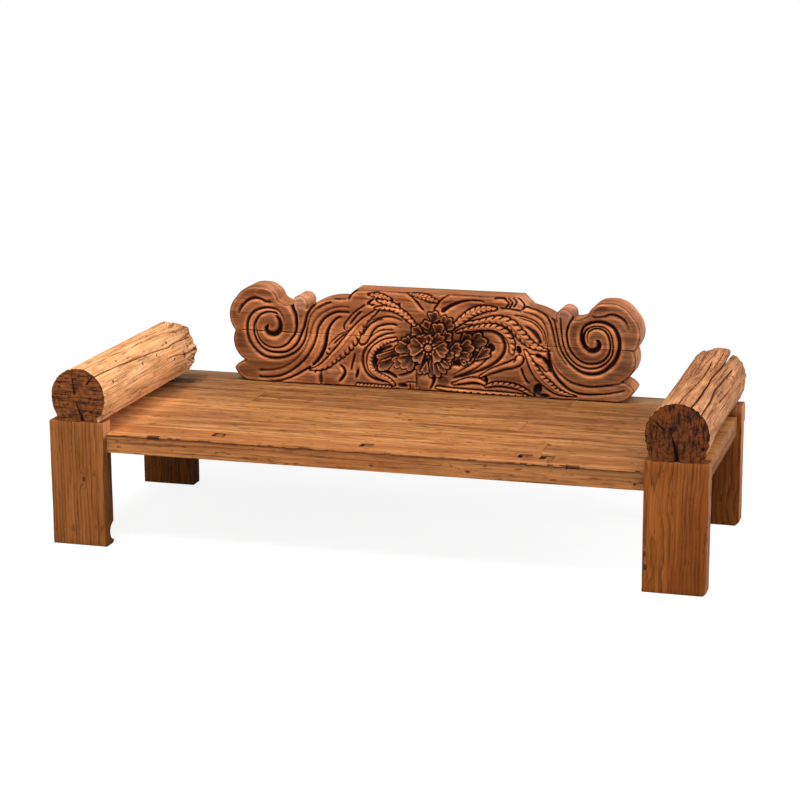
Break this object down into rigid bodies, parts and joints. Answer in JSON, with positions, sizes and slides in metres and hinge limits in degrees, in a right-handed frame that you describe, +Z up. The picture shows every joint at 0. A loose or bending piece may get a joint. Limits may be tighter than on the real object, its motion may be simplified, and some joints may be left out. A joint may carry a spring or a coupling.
{
  "type": "luohan daybed",
  "caption": "Low timber daybed for sitting or lying on: a plank seat on slab legs, a whole log laid along each end as an armrest and a thick carved scroll board standing along the back.",
  "frame": {"origin": "on the floor, at the middle of the bed's length and of its whole depth", "axes": "+X along the length, +Y to the back, +Z up; the front faces -Y"},
  "size_m": [2.21, 1.018, 0.746],
  "materials": {
    "leg_timber": "oiled, straight dark grain, worn edges",
    "rail_timber": "oiled old beam with chips and plugged mortises",
    "seat_planks": "oiled, satin, rubbed smooth",
    "weathered_log": "weathered, matt, deeply checked",
    "carved_board": "carved in relief, oiled, dark in the recesses",
    "end_grain_plug": "oiled end grain",
    "dowel_wood": "plain turned wood",
    "under_frame_timber": "plain sawn timber"
  },
  "bodies": {
    "root": {"back_foot_dowels": "dowel_wood", "back_joint_dowels": "dowel_wood", "back_lower_board": "carved_board", "back_upper_board": "carved_board", "cross_bearer_left": "under_frame_timber", "cross_bearer_middle": "under_frame_timber", "cross_bearer_right": "under_frame_timber", "end_bearer_left": "under_frame_timber", "end_bearer_right": "under_frame_timber", "front_leg_dowels": "dowel_wood", "front_rail": "rail_timber", "leg_front_left": "leg_timber", "leg_front_right": "leg_timber", "leg_rear_left": "leg_timber", "leg_rear_right": "leg_timber", "log_arm_dowels": "dowel_wood", "log_arm_left": "weathered_log", "log_arm_right": "weathered_log", "mortise_plugs": "end_grain_plug", "rear_rail": "rail_timber", "rear_under_rail": "under_frame_timber", "seat_plank_1_left": "seat_planks", "seat_plank_1_right": "seat_planks", "seat_plank_2": "seat_planks", "seat_plank_3_left": "seat_planks", "seat_plank_3_right": "seat_planks", "seat_plank_4_left": "seat_planks", "seat_plank_4_right": "seat_planks", "seat_plank_5_left": "seat_planks", "seat_plank_5_right": "seat_planks"}
  },
  "joints": []
}
